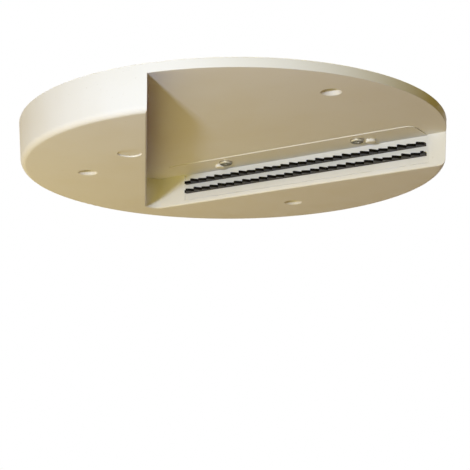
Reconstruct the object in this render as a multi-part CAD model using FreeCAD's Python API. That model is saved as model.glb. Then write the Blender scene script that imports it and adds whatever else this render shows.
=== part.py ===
import FreeCAD, Part
import math
import os
from FreeCAD import Placement, Rotation, Vector

os.makedirs("parts", exist_ok=True)

# Wedge jar opener that is screwed up under a cabinet.  Millimetres and degrees.
# +Z is up, the mounting face is Z = 0 with its centre at the origin, and the mouth of
# the wedge notch opens towards -Y.  The toothed wall of the notch is on the +X side.

# Moulded disc
disc_radius = 90.0          # at the mounting face
disc_height = 18.3          # mounting face to underside
disc_draft = 3.5            # draft of the rim, degrees
lower_edge_radius = 2.6     # round between rim and underside
upper_edge_bevel = 0.4
plate_thickness = 4.0       # roof over the notch

# Wedge notch
notch_half_angle = 27.7     # each wall from the centre plane
toothed_wall_offset = 37.7  # disc axis to the toothed wall
smooth_wall_offset = 36.7   # disc axis to the smooth wall
apex_radius = 5.0
notch_edge_bevel = 0.5      # along the open edge of the two walls

# Cores on the hidden upper side of the two arms
rim_wall = 3.0
arm_floor = 3.0             # skin left at the underside
notch_wall = 3.6            # wall beside the notch
rib_thickness = 2.0
rib_pitch = 15.8
smallest_core_side = 4.0    # cores narrower than this are left solid

# Screw holes, for 4.2 mm flat-head wood screws
screw_hole_radius = 2.4
screw_head_radius = 4.1
countersink_half_angle = 45.0
boss_radius = 7.0
arm_hole_distance = 61.6    # disc axis to the holes in the arms
arm_hole_angle = 31.7       # from the +X axis, and mirrored
front_hole_distance = 71.4

# Round gate recess in the underside of the smooth arm
gate_recess_radius = 4.8
gate_recess_depth = 0.55
gate_recess_distance = 50.4
gate_recess_angle = 182.4        # from the +X axis

# Saw-toothed blades.  "along" runs on the toothed wall from the foot of the
# perpendicular to the disc axis, positive towards the mouth.
blade_start = -48.0
blade_end = 72.2
blade_thickness = 1.25
blade_embed = 6.0           # depth inside the holder
blade_back_bevel = 1.4
upper_blade_drop = 8.8      # mounting face to the blade's underside
lower_blade_drop = 13.05
gullet_height = 1.4         # wall face to the bottom of the gullets
tooth_height = 2.3
tooth_pitch = 4.33
tooth_land = 0.7            # flat at a tooth's tip
tooth_lean = 0.8            # tip from the tooth's middle, towards the apex
tooth_set = 0.22            # sideways bend of the set teeth
upper_tooth_start = 4.0     # mouth end to the first gullet
lower_tooth_start = 2.2

# Blade holder
holder_end_cover = 0.7      # holder past each end of the blades
holder_depth = 8.0
holder_recess = 0.3         # holder face behind the wall face
holder_clearance = 0.05     # around the holder in its pocket
blade_clearance = 0.03      # around a blade in its slot
holder_lip = 2.2            # body left under the holder
flange_width = 15.7         # from the wall face
flange_thickness = 0.9
flange_inset = 0.6          # let into the roof, so that only the rest stands out
flange_corner = 3.8

# Screws and pegs that hold the flange
holder_screw_inset = 28.1   # holder end to the screw, at both ends
holder_screw_reach = 9.6    # wall face to the screw's axis
holder_screw_radius = 1.3
holder_screw_length = 2.9   # under the head
holder_screw_point = 0.5
pan_radius = 3.0
pan_height = 1.2
pan_round = 0.85            # between the head's side and its face
recess_width = 0.7
recess_length = 2.8
recess_depth = 0.55
peg_radius = 2.2
peg_height = 1.5            # from the roof of the notch
peg_bevel = 0.35
peg_step = 4.9              # screw to peg along the wall
peg_reach = 6.2             # wall face to the peg's axis
fixing_clearance = 0.1      # around the screws and pegs in the flange

cut_extra = 1.0             # how far cutting tools run past a face

roof_z = -plate_thickness
holder_top = roof_z + flange_inset
seat_z = holder_top - flange_thickness
under_z = -disc_height
holder_start = blade_start - holder_end_cover
holder_end = blade_end + holder_end_cover
holder_back = holder_recess + holder_depth
wall_heading = notch_half_angle - 90.0


def box(x_low, x_high, y_low, y_high, z_low, z_high):
    corner = Vector(x_low, y_low, z_low)
    return Part.makeBox(x_high - x_low, y_high - y_low, z_high - z_low, corner)


def cylinder(radius, z_low, z_high, x=0.0, y=0.0):
    return Part.makeCylinder(radius, z_high - z_low, Vector(x, y, z_low))


def cone(low_radius, high_radius, z_low, z_high, x=0.0, y=0.0):
    return Part.makeCone(low_radius, high_radius, z_high - z_low, Vector(x, y, z_low))


def on_wall(shape, offset=toothed_wall_offset):
    # from the wall's own frame, with X along the wall towards the mouth and Y into
    # the arm, to its place on the +X side
    turn = Rotation(Vector(0, 0, 1), wall_heading)
    foot = turn.multVec(Vector(0, offset, 0))
    placed = shape.copy()
    placed.Placement = Placement(foot, turn).multiply(placed.Placement)
    return placed


def mirrored(shape):
    return shape.mirror(Vector(0, 0, 0), Vector(1, 0, 0))


def vertical_edges(shape):
    return [e for e in shape.Edges
            if len(e.Vertexes) == 2
            and abs(e.tangentAt(e.FirstParameter).z) > 0.999]


# ---- moulded body ----

def blank_disc():
    low_radius = disc_radius - disc_height * math.tan(math.radians(disc_draft))
    disc = cone(low_radius, disc_radius, under_z, 0)
    lower = [e for e in disc.Edges if e.BoundBox.ZMax < under_z + 0.01]
    disc = disc.makeFillet(lower_edge_radius, lower)
    upper = [e for e in disc.Edges if e.BoundBox.ZMin > -0.01]
    return disc.makeChamfer(upper_edge_bevel, upper)


def wall_side(offset, start):
    # what lies on the notch side of a wall from start on towards the mouth, with the
    # wall's open edge bevelled off
    reach = 2 * disc_radius
    low = under_z - cut_extra
    outline = [Vector(start, -reach, low), Vector(start, notch_edge_bevel + cut_extra, low),
               Vector(start, 0, under_z + notch_edge_bevel), Vector(start, 0, roof_z),
               Vector(start, -reach, roof_z), Vector(start, -reach, low)]
    side = Part.Face(Part.makePolygon(outline)).extrude(Vector(reach - start, 0, 0))
    return on_wall(side, offset)


def notch():
    # everything between the two walls, with a round apex
    sine = math.sin(math.radians(notch_half_angle))
    cosine = math.cos(math.radians(notch_half_angle))
    # axis of the round, apex_radius away from both walls
    y = ((toothed_wall_offset + smooth_wall_offset) / 2 - apex_radius) / sine
    x = (toothed_wall_offset - smooth_wall_offset) / (2 * cosine)
    reach = 2 * disc_radius
    toothed = wall_side(toothed_wall_offset, x * sine - y * cosine)
    smooth = mirrored(wall_side(smooth_wall_offset, -x * sine - y * cosine))
    toothed = toothed.common(mirrored(wall_side(smooth_wall_offset, -reach)))
    smooth = smooth.common(wall_side(toothed_wall_offset, -reach))
    bevel_top = under_z + notch_edge_bevel
    flare = cone(apex_radius + notch_edge_bevel + cut_extra, apex_radius,
                 under_z - cut_extra, bevel_top, x, y)
    apex = cylinder(apex_radius, bevel_top, roof_z, x, y)
    return toothed.fuse([smooth, apex, flare])


def hole_places():
    turn = math.radians(arm_hole_angle)
    x = arm_hole_distance * math.cos(turn)
    y = arm_hole_distance * math.sin(turn)
    return [(-x, y, under_z), (x, y, under_z), (0.0, -front_hole_distance, roof_z)]


def screw_hole(x, y, mouth_z):
    # straight hole to the mounting face, countersunk from below
    slope = math.tan(math.radians(countersink_half_angle))
    depth = (screw_head_radius - screw_hole_radius) / slope
    hole = cylinder(screw_hole_radius, mouth_z, cut_extra, x, y)
    sink = cone(screw_head_radius, screw_hole_radius, mouth_z, mouth_z + depth, x, y)
    mouth = cylinder(screw_head_radius, mouth_z - cut_extra, mouth_z, x, y)
    return hole.fuse([sink, mouth])


def arm_cores(wall_offset, wall_thickness):
    # square cores between crossing ribs, drawn for the +X arm
    floor_z = under_z + arm_floor
    reach = disc_radius
    half = rib_thickness / 2
    block = on_wall(box(-reach, reach, wall_thickness, reach, floor_z, cut_extra), wall_offset)
    side = box(half, reach, -reach, reach, floor_z, cut_extra)
    cores = cylinder(disc_radius - rim_wall, floor_z, cut_extra).common(side).common(block)
    count = int(reach / rib_pitch) + 1
    kept = []
    for step in range(-count, count + 1):
        along = step * rib_pitch
        kept.append(on_wall(box(along - half, along + half, 0, reach, floor_z, cut_extra),
                            wall_offset))
    for step in range(1, count):
        across = wall_thickness + step * rib_pitch
        kept.append(on_wall(box(-reach, reach, across - half, across + half, floor_z, cut_extra),
                            wall_offset))
    hole_x, hole_y, hole_z = hole_places()[1]
    kept.append(cylinder(boss_radius, floor_z, cut_extra, hole_x, hole_y))
    smallest = smallest_core_side ** 2 * (cut_extra - floor_z)
    return [core for core in cores.cut(kept).Solids if core.Volume > smallest]


def flange_plate(gap, low):
    # from low up to the top of the holder, with two round corners
    plate = box(holder_start - gap, holder_end + gap, -flange_width - gap, holder_recess,
                low, holder_top)
    corners = [e for e in vertical_edges(plate) if e.CenterOfMass.y < -flange_width / 2]
    return plate.makeFillet(flange_corner, corners)


def holder_pocket():
    gap = holder_clearance
    web = box(holder_start - gap, holder_end + gap, -cut_extra, holder_back + gap,
              under_z + holder_lip - gap, holder_top)
    return on_wall(web.fuse(flange_plate(gap, roof_z - cut_extra)))


def fixing_places():
    # (screw, peg) pairs in the wall frame, one pair near each end of the holder
    outer = holder_end - holder_screw_inset
    inner = holder_start + holder_screw_inset
    return [((outer, -holder_screw_reach), (outer + peg_step, -peg_reach)),
            ((inner, -holder_screw_reach), (inner - peg_step, -peg_reach))]


def flange_peg(x, y):
    low = roof_z - peg_height
    peg = cylinder(peg_radius, low, holder_top, x, y)
    tip = [e for e in peg.Edges if e.BoundBox.ZMax < low + 0.01]
    return peg.makeChamfer(peg_bevel, tip)


def body():
    shape = blank_disc().cut(notch())
    toothed_cores = arm_cores(toothed_wall_offset, holder_back + holder_clearance + notch_wall)
    smooth_cores = [mirrored(core) for core in arm_cores(smooth_wall_offset, notch_wall)]
    shape = shape.cut(toothed_cores + smooth_cores + [holder_pocket()])
    shape = shape.cut([screw_hole(*place) for place in hole_places()])
    turn = math.radians(gate_recess_angle)
    shape = shape.cut(cylinder(gate_recess_radius, under_z - cut_extra, under_z + gate_recess_depth,
                               gate_recess_distance * math.cos(turn),
                               gate_recess_distance * math.sin(turn)))
    pegs = []
    pilots = []
    for screw, peg in fixing_places():
        pilots.append(on_wall(cylinder(holder_screw_radius, roof_z - cut_extra,
                                       seat_z + holder_screw_length, *screw)))
        pegs.append(on_wall(flange_peg(*peg)))
    return shape.cut(pilots).fuse(pegs).removeSplitter()


# ---- toothed blades ----

def tooth(middle, bend):
    # a tooth with flat sides, from its base on the gullet line to its land; the set
    # bends the land up or down
    def ring(y, centre, width, low):
        left = centre - width / 2
        right = centre + width / 2
        high = low + blade_thickness
        return [Vector(left, y, low), Vector(right, y, low),
                Vector(right, y, high), Vector(left, y, high)]
    base = ring(-gullet_height, middle, tooth_pitch, 0)
    land = ring(-gullet_height - tooth_height, middle - tooth_lean, tooth_land, bend)
    rings = [base, land]
    for k in range(4):
        after = (k + 1) % 4
        rings.append([base[k], base[after], land[after], land[k]])
    faces = [Part.Face(Part.makePolygon(ring + ring[:1])) for ring in rings]
    solid = Part.Solid(Part.Shell(faces))
    return solid if solid.Volume > 0 else solid.reversed()


def blade(drop, tooth_start):
    strip = box(blade_start, blade_end, -gullet_height, holder_recess + blade_embed,
                0, blade_thickness)
    back = [e for e in vertical_edges(strip) if e.CenterOfMass.y > 0]
    strip = strip.makeChamfer(blade_back_bevel, back)
    bends = [0.0, -tooth_set, tooth_set]
    count = int((blade_end - tooth_start - blade_start) / tooth_pitch)
    teeth = []
    for index in range(-1, count):
        middle = blade_end - tooth_start - (index + 0.5) * tooth_pitch
        teeth.append(tooth(middle, bends[(index + 1) % 3]))
    length = box(blade_start, blade_end, -disc_radius, disc_radius, -disc_height, disc_height)
    shape = strip.fuse(teeth).common(length).removeSplitter()
    shape.translate(Vector(0, 0, -drop))
    return on_wall(shape)


# ---- blade holder ----

def blade_slot(drop):
    gap = blade_clearance
    return box(blade_start - gap, blade_end + gap, -cut_extra, holder_recess + blade_embed + gap,
               -drop - gap, -drop + blade_thickness + gap)


def blade_holder():
    web = box(holder_start, holder_end, holder_recess, holder_back, under_z + holder_lip,
              holder_top)
    shape = web.fuse(flange_plate(0.0, seat_z))
    cuts = [blade_slot(upper_blade_drop), blade_slot(lower_blade_drop)]
    for screw, peg in fixing_places():
        for radius, place in [(holder_screw_radius, screw), (peg_radius, peg)]:
            cuts.append(cylinder(radius + fixing_clearance, seat_z - cut_extra,
                                 roof_z + cut_extra, *place))
    return on_wall(shape.cut(cuts).removeSplitter())


def holder_screw(x, y):
    # pan head under the flange and a plain shank up into the roof
    low = seat_z - pan_height
    top = seat_z + holder_screw_length
    head = cylinder(pan_radius, low, seat_z)
    face = [e for e in head.Edges if e.BoundBox.ZMax < low + 0.01]
    head = head.makeFillet(pan_round, face)
    shank = cylinder(holder_screw_radius, seat_z, top - holder_screw_point)
    point = cone(holder_screw_radius, holder_screw_radius / 3, top - holder_screw_point, top)
    long_side = recess_length / 2
    short_side = recess_width / 2
    recess = [box(-a, a, -b, b, low - cut_extra, low + recess_depth)
              for a, b in [(long_side, short_side), (short_side, long_side)]]
    shape = head.fuse([shank, point]).cut(recess).removeSplitter()
    shape.translate(Vector(x, y, 0))
    return on_wall(shape)


(mouth_screw, _), (apex_screw, _) = fixing_places()
parts = {
    "disc_body": body(),
    "blade_holder": blade_holder(),
    "upper_blade": blade(upper_blade_drop, upper_tooth_start),
    "lower_blade": blade(lower_blade_drop, lower_tooth_start),
    "holder_screw_mouth": holder_screw(*mouth_screw),
    "holder_screw_apex": holder_screw(*apex_screw),
}

for name, shape in parts.items():
    print(name, "solids", len(shape.Solids), "valid", shape.isValid(),
          "volume", round(shape.Volume, 1))
    shape.Solids[0].exportStep(f"parts/{name}.step")
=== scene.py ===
import bpy
import bmesh
import math
from mathutils import Matrix, Vector


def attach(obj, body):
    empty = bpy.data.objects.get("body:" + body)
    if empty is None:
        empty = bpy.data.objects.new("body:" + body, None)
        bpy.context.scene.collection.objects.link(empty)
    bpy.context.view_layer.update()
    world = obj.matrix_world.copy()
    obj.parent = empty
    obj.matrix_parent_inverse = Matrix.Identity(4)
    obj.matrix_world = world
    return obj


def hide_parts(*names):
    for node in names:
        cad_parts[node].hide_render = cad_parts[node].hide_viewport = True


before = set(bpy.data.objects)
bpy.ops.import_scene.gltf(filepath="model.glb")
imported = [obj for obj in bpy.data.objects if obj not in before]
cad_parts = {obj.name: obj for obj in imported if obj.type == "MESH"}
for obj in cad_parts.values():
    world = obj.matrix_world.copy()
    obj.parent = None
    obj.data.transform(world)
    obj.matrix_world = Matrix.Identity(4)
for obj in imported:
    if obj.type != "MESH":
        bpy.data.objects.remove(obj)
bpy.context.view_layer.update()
mm = 0.001


def linear(hexColour):
    # sRGB hex to the linear RGBA that Blender's sockets take
    parts = [int(hexColour[i:i + 2], 16) / 255 for i in (1, 3, 5)]
    return [c / 12.92 if c <= 0.04045 else ((c + 0.055) / 1.055) ** 2.4 for c in parts] + [1.0]


def addNode(tree, kind, settings=None, inputs=None):
    # settings are the node's own properties; an input is a value, a node or a node's output
    node = tree.nodes.new("ShaderNode" + kind)
    for name, value in (settings or {}).items():
        setattr(node, name, value)
    for name, value in (inputs or {}).items():
        source = value.outputs[0] if isinstance(value, bpy.types.Node) else value
        if isinstance(source, bpy.types.NodeSocket):
            tree.links.new(source, node.inputs[name])
        else:
            node.inputs[name].default_value = value
    return node


def newMaterial(name):
    material = bpy.data.materials.new(name)
    material.use_nodes = True
    material.node_tree.nodes.clear()
    return material, material.node_tree


cameraSettings = {
    "place": (-281.34, -456.38, -165.36),   # mm
    "yaw": 31.731,                          # degrees from +Y towards +X
    "pitch": 12.553,                        # upwards
    "roll": -0.437,
    "focalPixels": 1311.7,
    "framePixels": 470.0,
    "nudge": (0.5, 0.5),                    # pixels, right and down
    "clip": (0.01, 50.0),                   # m, nearest and furthest
}


def addCamera(s):
    yaw, pitch, roll = (math.radians(s[k]) for k in ("yaw", "pitch", "roll"))
    ahead = Vector((math.sin(yaw) * math.cos(pitch), math.cos(yaw) * math.cos(pitch),
                    math.sin(pitch)))
    level = Vector((math.cos(yaw), -math.sin(yaw), 0))
    upright = level.cross(ahead)
    right = level * math.cos(roll) + upright * math.sin(roll)
    up = upright * math.cos(roll) - level * math.sin(roll)
    ahead = (ahead - right * s["nudge"][0] / s["focalPixels"]
             + up * s["nudge"][1] / s["focalPixels"]).normalized()
    right = ahead.cross(up).normalized()
    up = right.cross(ahead)
    data = bpy.data.cameras.new("camera")
    data.lens = s["focalPixels"] / s["framePixels"] * data.sensor_width
    data.clip_start, data.clip_end = s["clip"]
    camera = bpy.data.objects.new("camera", data)
    turn = Matrix((right, up, -ahead)).transposed().to_4x4()
    camera.matrix_world = Matrix.Translation(Vector(s["place"]) * mm) @ turn
    bpy.context.scene.collection.objects.link(camera)
    bpy.context.scene.camera = camera


addCamera(cameraSettings)
bpy.context.scene.view_settings.view_transform = "Standard"
print("camera ready")

softboxSettings = {
    # places and sizes in m, powers in W
    # small and cool, in front on the left and a little below the disc
    "key": {"place": (-0.304, -0.262, -0.083), "size": 0.028, "power": 1.07,
            "colour": "#D5E1FD"},
    # warm, beside the camera
    "front": {"place": (-0.525, -0.741, -0.197), "size": 0.35, "power": 1.49,
              "colour": "#FFF550"},
    # for the left end of the rim
    "side": {"place": (-0.792, 0.285, -0.129), "size": 0.3, "power": 0.6,
             "colour": "#FFF4F4"},
    # wide, below and behind
    "fill": {"place": (-0.128, 0.166, -0.382), "size": 0.5, "power": 0.25,
             "colour": "#FFF58F"},
    # close under the left arm, so that the underside darkens towards the right
    "near": {"place": (-0.15, 0.13, -0.22), "size": 0.3, "power": 0.32,
             "colour": "#FFEAA6"},
    # for the back and the right of the rim
    "back": {"place": (0.95, 0.85, 0.15), "size": 0.7, "power": 6.5,
             "colour": "#FFFFFF"},
}

studioSettings = {
    "lampAim": (-0.02, -0.02, -0.01),   # m, near the middle of the disc
    "sunPower": 2.45,                   # from above, on the top and the floor
    "sunColour": "#FFFFFF",
    "sunTilt": 13.0,                    # degrees off the vertical
    "sunHeading": 168.0,                # degrees from -Y towards +X
    "sunAngle": 13.0,                   # degrees across, for a soft shadow
    "sunDistance": 3.0,                 # m, of no effect on its light
    "roomColour": "#FFDB33",            # what falls on things from all round
    "roomStrength": 0.2,
    "backdropColour": "#FFFFFF",        # what is seen all round
    "floorHeight": -0.85,               # m, low enough to stay out of views from underneath
    "floorReach": 12.0,                 # m, half of its side
    "floorColour": "#EAEFFF",           # a cool white, which the warm room turns neutral
    "floorRoughness": 0.6,
    "bounceColour": "#512700",          # an oiled oak worktop, as it lights the underside
}


def addLamp(kind, name, place, aim, power, colour):
    data = bpy.data.lights.new(name, kind)
    data.energy = power
    data.color = linear(colour)[:3]
    lamp = bpy.data.objects.new(name, data)
    toward = Vector(aim) - Vector(place)
    lamp.matrix_world = (Matrix.Translation(Vector(place))
                         @ toward.to_track_quat("-Z", "Y").to_matrix().to_4x4())
    lamp.visible_camera = False
    bpy.context.scene.collection.objects.link(lamp)
    return data


def addLamps(softboxes, s):
    for name, box in softboxes.items():
        lamp = addLamp("AREA", name, box["place"], s["lampAim"], box["power"], box["colour"])
        lamp.size = box["size"]
    tilt, heading = math.radians(s["sunTilt"]), math.radians(s["sunHeading"])
    place = Vector((math.sin(tilt) * math.sin(heading), -math.sin(tilt) * math.cos(heading),
                    math.cos(tilt))) * s["sunDistance"]
    sun = addLamp("SUN", "overhead", place, (0, 0, 0), s["sunPower"], s["sunColour"])
    sun.angle = math.radians(s["sunAngle"])


def seenDirectly(tree):
    # 1 for camera, glossy and transmission rays, 0 for the light that falls on things
    path = addNode(tree, "LightPath")
    shiny = addNode(tree, "Math", {"operation": "MAXIMUM"},
                    {0: path.outputs["Is Glossy Ray"], 1: path.outputs["Is Transmission Ray"]})
    return addNode(tree, "Math", {"operation": "MAXIMUM"},
                   {0: path.outputs["Is Camera Ray"], 1: shiny})


def addRoom(s):
    world = bpy.data.worlds.new("studio")
    world.use_nodes = True
    tree = world.node_tree
    tree.nodes.clear()
    room = addNode(tree, "Background", None,
                   {"Color": linear(s["roomColour"]), "Strength": s["roomStrength"]})
    backdrop = addNode(tree, "Background", None, {"Color": linear(s["backdropColour"])})
    mix = addNode(tree, "MixShader", None, {0: seenDirectly(tree), 1: room, 2: backdrop})
    addNode(tree, "OutputWorld", None, {"Surface": mix})
    bpy.context.scene.world = world


def addFloor(s):
    build = bmesh.new()
    bmesh.ops.create_grid(build, x_segments=1, y_segments=1, size=s["floorReach"])
    bmesh.ops.translate(build, verts=build.verts, vec=(0, 0, s["floorHeight"]))
    mesh = bpy.data.meshes.new("floor")
    build.to_mesh(mesh)
    build.free()
    floor = bpy.data.objects.new("floor", mesh)
    bpy.context.scene.collection.objects.link(floor)
    material, tree = newMaterial("paleFloor")
    mix = addNode(tree, "Mix", {"data_type": "RGBA"},
                  {0: seenDirectly(tree), 6: linear(s["bounceColour"]),
                   7: linear(s["floorColour"])})
    surface = addNode(tree, "BsdfDiffuse", None,
                      {"Color": mix.outputs[2], "Roughness": s["floorRoughness"]})
    addNode(tree, "OutputMaterial", None, {"Surface": surface})
    mesh.materials.append(material)


addLamps(softboxSettings, studioSettings)
addRoom(studioSettings)
addFloor(studioSettings)
print("lights and floor ready")

wallSettings = {
    "halfAngle": 27.7,      # degrees, each wall of the notch from the centre plane
    "toothedOffset": 37.7,  # mm from the disc axis to the toothed wall
}
wallHeading = math.radians(wallSettings["halfAngle"] - 90.0)
wallFoot = (Matrix.Rotation(wallHeading, 3, "Z")
            @ Vector((0, wallSettings["toothedOffset"] * mm, 0)))


def onWall(tree, stretch=(1, 1, 1)):
    # Object coordinates in the toothed wall's frame, with X along the wall towards the
    # mouth and Y into the arm
    coordinates = addNode(tree, "TexCoord")
    return addNode(tree, "Mapping", {"vector_type": "TEXTURE"},
                   {"Vector": coordinates.outputs["Object"], "Location": wallFoot,
                    "Rotation": (0, 0, wallHeading), "Scale": stretch})


def laidOver(tree, under, over, pattern, edges, most=1.0):
    # the colour over comes in where the pattern runs from the first edge to the second
    amount = addNode(tree, "MapRange", None,
                     {"Value": pattern, "From Min": edges[0], "From Max": edges[1],
                      "To Max": most})
    mix = addNode(tree, "Mix", {"data_type": "RGBA"}, {0: amount, 6: under, 7: over})
    return mix.outputs[2]


absSettings = {
    "colour": "#F0EFEC",
    "warmPatch": "#EEECE6",
    "patchSize": 38.0,          # mm, as all sizes and heights below
    "patchEdges": (0.40, 0.66),
    "speck": "#D6D1C6",
    "speckSize": 1.3,
    "speckEdges": (0.70, 0.78),
    "speckMost": 0.4,
    "glossSize": 9.0,
    "glossEdges": (0.3, 0.7),
    "roughness": (0.55, 0.68),
    "grainSize": 0.35,          # the real grain is 0.05 mm, too fine to show
    "grainHeight": 0.010,
    "waveSize": 46.0,           # slow unevenness of a large flat moulding
    "waveHeight": 0.03,
    "ior": 1.53,
    "specular": 0.1,            # the spark-eroded grain takes most of the shine
}


def mouldedAbs(s):
    # off-white ABS out of a fine spark-eroded mould: an even satin with a faint grain, flats
    # that are never quite flat, and a few specks in the plastic
    material, tree = newMaterial("mouldedAbs")
    place = addNode(tree, "TexCoord").outputs["Object"]
    patches = addNode(tree, "TexNoise", None,
                      {"Vector": place, "Scale": 1 / (s["patchSize"] * mm), "Detail": 4.0})
    colour = laidOver(tree, linear(s["colour"]), linear(s["warmPatch"]), patches,
                      s["patchEdges"])
    specks = addNode(tree, "TexNoise", None,
                     {"Vector": place, "Scale": 1 / (s["speckSize"] * mm), "Detail": 2.0})
    colour = laidOver(tree, colour, linear(s["speck"]), specks, s["speckEdges"], s["speckMost"])
    gloss = addNode(tree, "TexNoise", None,
                    {"Vector": place, "Scale": 1 / (s["glossSize"] * mm), "Detail": 5.0})
    rough = addNode(tree, "MapRange", None,
                    {"Value": gloss, "From Min": s["glossEdges"][0],
                     "From Max": s["glossEdges"][1], "To Min": s["roughness"][0],
                     "To Max": s["roughness"][1]})
    waves = addNode(tree, "TexNoise", None,
                    {"Vector": place, "Scale": 1 / (s["waveSize"] * mm), "Detail": 1.0})
    waveBump = addNode(tree, "Bump", None, {"Height": waves, "Distance": s["waveHeight"] * mm})
    grain = addNode(tree, "TexNoise", None,
                    {"Vector": place, "Scale": 1 / (s["grainSize"] * mm), "Detail": 2.0})
    grainBump = addNode(tree, "Bump", None,
                        {"Height": grain, "Distance": s["grainHeight"] * mm,
                         "Normal": waveBump})
    surface = addNode(tree, "BsdfPrincipled", None,
                      {"Base Color": colour, "Roughness": rough, "IOR": s["ior"],
                       "Specular IOR Level": s["specular"], "Normal": grainBump})
    addNode(tree, "OutputMaterial", None, {"Surface": surface})
    return material


nylonSettings = {
    "colour": "#EEECE8",
    "warmPatch": "#EAE8E2",
    "patchSize": 22.0,          # mm, as all sizes and heights below
    "patchEdges": (0.40, 0.65),
    "rub": "#8E8778",
    "rubSize": 1.4,
    "rubEdges": (0.66, 0.82),
    "rubMost": 0.18,
    "glossSize": 5.0,
    "glossEdges": (0.3, 0.7),
    "roughness": (0.30, 0.42),
    "flowSize": 7.0,
    "flowHeight": 0.03,
    "flowStretch": (6.0, 1.0, 0.5),     # along the wall, into it and upwards
    "ior": 1.53,
    "specular": 0.1,
}


def mouldedNylon(s):
    # nylon from a polished mould: smoother and a touch greyer than the body, with faint
    # flow lines along the strip and grey rubs where steel lids pass
    material, tree = newMaterial("mouldedNylon")
    place = onWall(tree)
    drawn = onWall(tree, s["flowStretch"])
    patches = addNode(tree, "TexNoise", None,
                      {"Vector": place, "Scale": 1 / (s["patchSize"] * mm), "Detail": 4.0})
    colour = laidOver(tree, linear(s["colour"]), linear(s["warmPatch"]), patches,
                      s["patchEdges"])
    rubs = addNode(tree, "TexNoise", None,
                   {"Vector": drawn, "Scale": 1 / (s["rubSize"] * mm), "Detail": 3.0})
    colour = laidOver(tree, colour, linear(s["rub"]), rubs, s["rubEdges"], s["rubMost"])
    gloss = addNode(tree, "TexNoise", None,
                    {"Vector": place, "Scale": 1 / (s["glossSize"] * mm), "Detail": 5.0})
    rough = addNode(tree, "MapRange", None,
                    {"Value": gloss, "From Min": s["glossEdges"][0],
                     "From Max": s["glossEdges"][1], "To Min": s["roughness"][0],
                     "To Max": s["roughness"][1]})
    flow = addNode(tree, "TexNoise", None,
                   {"Vector": drawn, "Scale": 1 / (s["flowSize"] * mm), "Detail": 2.0})
    flowBump = addNode(tree, "Bump", None, {"Height": flow, "Distance": s["flowHeight"] * mm})
    surface = addNode(tree, "BsdfPrincipled", None,
                      {"Base Color": colour, "Roughness": rough, "IOR": s["ior"],
                       "Specular IOR Level": s["specular"], "Normal": flowBump})
    addNode(tree, "OutputMaterial", None, {"Surface": surface})
    return material


steelSettings = {
    "strip": "#3D3024",         # tempered strip behind the teeth
    "stain": "#281E15",
    "stainSize": 5.0,           # mm, as all sizes and heights below
    "stainEdges": (0.42, 0.68),
    "ground": "#8D867B",        # bare steel along the rolling lines
    "rollSize": 0.35,
    "rollStretch": (30.0, 1.0, 1.0),    # along the wall, into it and upwards
    "rollEdges": (0.55, 0.80),
    "rollMost": 0.35,
    "rollHeight": 0.012,
    "scorched": "#15110D",      # flame-hardened teeth
    "temperLine": (0.9, 1.7),   # mm out of the wall, where strip turns into scorched teeth
    "flameWander": 0.8,         # mm
    "glossEdges": (0.3, 0.7),
    "roughness": (0.34, 0.52),
    "metallic": 0.9,            # the scale on it is an oxide
}


def hardenedSawSteel(s):
    # rolled carbon steel with flame-hardened teeth: black scale on the teeth, brown temper
    # stain on the strip behind, and fine rolling lines along it
    material, tree = newMaterial("hardenedSawSteel")
    place = onWall(tree)
    rolled = onWall(tree, s["rollStretch"])
    stains = addNode(tree, "TexNoise", None,
                     {"Vector": place, "Scale": 1 / (s["stainSize"] * mm), "Detail": 4.0})
    colour = laidOver(tree, linear(s["strip"]), linear(s["stain"]), stains, s["stainEdges"])
    lines = addNode(tree, "TexNoise", None,
                    {"Vector": rolled, "Scale": 1 / (s["rollSize"] * mm), "Detail": 3.0})
    colour = laidOver(tree, colour, linear(s["ground"]), lines, s["rollEdges"], s["rollMost"])
    # how far out of the wall, unevenly, because the flame wanders
    axes = addNode(tree, "SeparateXYZ", None, {0: place})
    outward = addNode(tree, "Math", {"operation": "MULTIPLY_ADD"},
                      {0: stains, 1: -s["flameWander"] * mm, 2: axes.outputs["Y"]})
    scorch = addNode(tree, "MapRange", {"interpolation_type": "SMOOTHSTEP"},
                     {"Value": outward, "From Min": -s["temperLine"][0] * mm,
                      "From Max": -s["temperLine"][1] * mm})
    colour = addNode(tree, "Mix", {"data_type": "RGBA"},
                     {0: scorch, 6: colour, 7: linear(s["scorched"])})
    rough = addNode(tree, "MapRange", None,
                    {"Value": lines, "From Min": s["glossEdges"][0],
                     "From Max": s["glossEdges"][1], "To Min": s["roughness"][0],
                     "To Max": s["roughness"][1]})
    lineBump = addNode(tree, "Bump", None, {"Height": lines, "Distance": s["rollHeight"] * mm})
    surface = addNode(tree, "BsdfPrincipled", None,
                      {"Base Color": colour.outputs[2], "Roughness": rough,
                       "Metallic": s["metallic"], "Normal": lineBump})
    addNode(tree, "OutputMaterial", None, {"Surface": surface})
    return material


zincSettings = {
    # side colours: the head's sides with a painted highlight; face colours: its face with painted
    # shade
    "side": "#BBB4A3",
    "paintedHighlightCloud": "#A49D8D",
    "face": "#8A8471",
    "paintedShadeCloud": "#6E6856",
    "clouding": 0.9,            # mm, as all sizes and heights below
    "shadeToHighlightLine": (-5.45, -5.25),     # height where the painted shade on the face gives way to the painted highlight on the sides
    "scratchSize": 0.25,        # driver marks, drawn coarser than they are
    "scratchHeight": 0.010,
    "glossEdges": (0.3, 0.7),
    "roughness": (0.42, 0.56),
}


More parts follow.
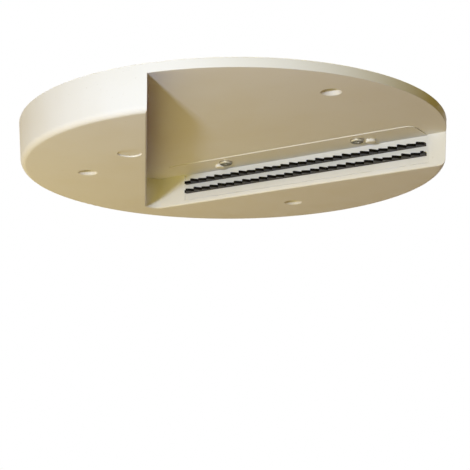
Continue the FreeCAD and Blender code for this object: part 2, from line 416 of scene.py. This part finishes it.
def zincWithPaintedLight(s):
    # yellow-passivated zinc on steel: a cloudy, half matt sheen, with a painted highlight round
    # the sides and painted shade on the face, which is also scratched by the driver
    material, tree = newMaterial("zincWithPaintedLight")
    place = addNode(tree, "TexCoord").outputs["Object"]
    clouds = addNode(tree, "TexNoise", None,
                     {"Vector": place, "Scale": 1 / (s["clouding"] * mm), "Detail": 4.0})
    # the sides, lighter as a painted highlight
    side = addNode(tree, "Mix", {"data_type": "RGBA"},
                   {0: clouds, 6: linear(s["side"]), 7: linear(s["paintedHighlightCloud"])})
    # the face, darker as painted shade
    face = addNode(tree, "Mix", {"data_type": "RGBA"},
                   {0: clouds, 6: linear(s["face"]), 7: linear(s["paintedShadeCloud"])})
    axes = addNode(tree, "SeparateXYZ", None, {0: place})
    # 0 on the face, painted shade; 1 up the sides, painted highlight
    paintedHighlightAmount = addNode(tree, "MapRange", {"interpolation_type": "SMOOTHSTEP"},
                        {"Value": axes.outputs["Z"], "From Min": s["shadeToHighlightLine"][0] * mm,
                         "From Max": s["shadeToHighlightLine"][1] * mm})
    colour = addNode(tree, "Mix", {"data_type": "RGBA"},
                     {0: paintedHighlightAmount, 6: face.outputs[2], 7: side.outputs[2]})
    scratches = addNode(tree, "TexNoise", None,
                        {"Vector": place, "Scale": 1 / (s["scratchSize"] * mm), "Detail": 3.0})
    rough = addNode(tree, "MapRange", None,
                    {"Value": clouds, "From Min": s["glossEdges"][0],
                     "From Max": s["glossEdges"][1], "To Min": s["roughness"][0],
                     "To Max": s["roughness"][1]})
    scratchBump = addNode(tree, "Bump", None,
                          {"Height": scratches, "Distance": s["scratchHeight"] * mm})
    surface = addNode(tree, "BsdfPrincipled", None,
                      {"Base Color": colour.outputs[2], "Roughness": rough, "Metallic": 1.0,
                       "Normal": scratchBump})
    addNode(tree, "OutputMaterial", None, {"Surface": surface})
    return material


finishes = {
    "body_plastic": mouldedAbs(absSettings),
    "holder_plastic": mouldedNylon(nylonSettings),
    "blade_steel": hardenedSawSteel(steelSettings),
    "screw_steel": zincWithPaintedLight(zincSettings),
}
print("materials ready")

dressSettings = {
    "mergeDistance": 0.06,  # mm, corners closer than this become one
    "flatAngle": 0.4,       # degrees, faces that turn less become one
    "sharpAngle": 42.0,     # degrees, edges that turn more are broken
}

pieceSettings = {
    # edge is the width in mm that each sharp edge is broken by, and steps its facets
    "disc_body": {"name": "discBody", "slot": "body_plastic", "edge": 0.22, "steps": 2},
    "blade_holder": {"name": "bladeHolder", "slot": "holder_plastic", "edge": 0.12, "steps": 2},
    "upper_blade": {"name": "upperBlade", "slot": "blade_steel", "edge": 0.05, "steps": 1},
    "lower_blade": {"name": "lowerBlade", "slot": "blade_steel", "edge": 0.05, "steps": 1},
    "holder_screw_mouth": {"name": "mouthScrew", "slot": "screw_steel", "edge": 0.06, "steps": 2},
    "holder_screw_apex": {"name": "apexScrew", "slot": "screw_steel", "edge": 0.06, "steps": 2},
}


def dressedCopy(node, s, dress):
    # the node's own solid with its loose faces merged and its sharp edges broken
    build = bmesh.new()
    build.from_mesh(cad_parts[node].data)
    bmesh.ops.remove_doubles(build, verts=build.verts, dist=dress["mergeDistance"] * mm)
    bmesh.ops.dissolve_limit(build, angle_limit=math.radians(dress["flatAngle"]),
                             verts=build.verts, edges=build.edges)
    for face in build.faces:
        face.smooth = True
    mesh = bpy.data.meshes.new(s["name"])
    build.to_mesh(mesh)
    build.free()
    mesh.materials.append(finishes[s["slot"]])
    piece = bpy.data.objects.new(s["name"], mesh)
    bpy.context.scene.collection.objects.link(piece)
    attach(piece, "root")
    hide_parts(node)
    bevel = piece.modifiers.new("brokenEdges", "BEVEL")
    bevel.width = s["edge"] * mm
    bevel.segments = s["steps"]
    bevel.limit_method = "ANGLE"
    bevel.angle_limit = math.radians(dress["sharpAngle"])
    bevel.use_clamp_overlap = False
    flats = piece.modifiers.new("flatFlats", "WEIGHTED_NORMAL")
    flats.mode = "FACE_AREA"
    flats.weight = 100      # large faces alone set the shading, so flats stay flat
    flats.keep_sharp = True


for node, s in pieceSettings.items():
    dressedCopy(node, s, dressSettings)
print("pieces ready")
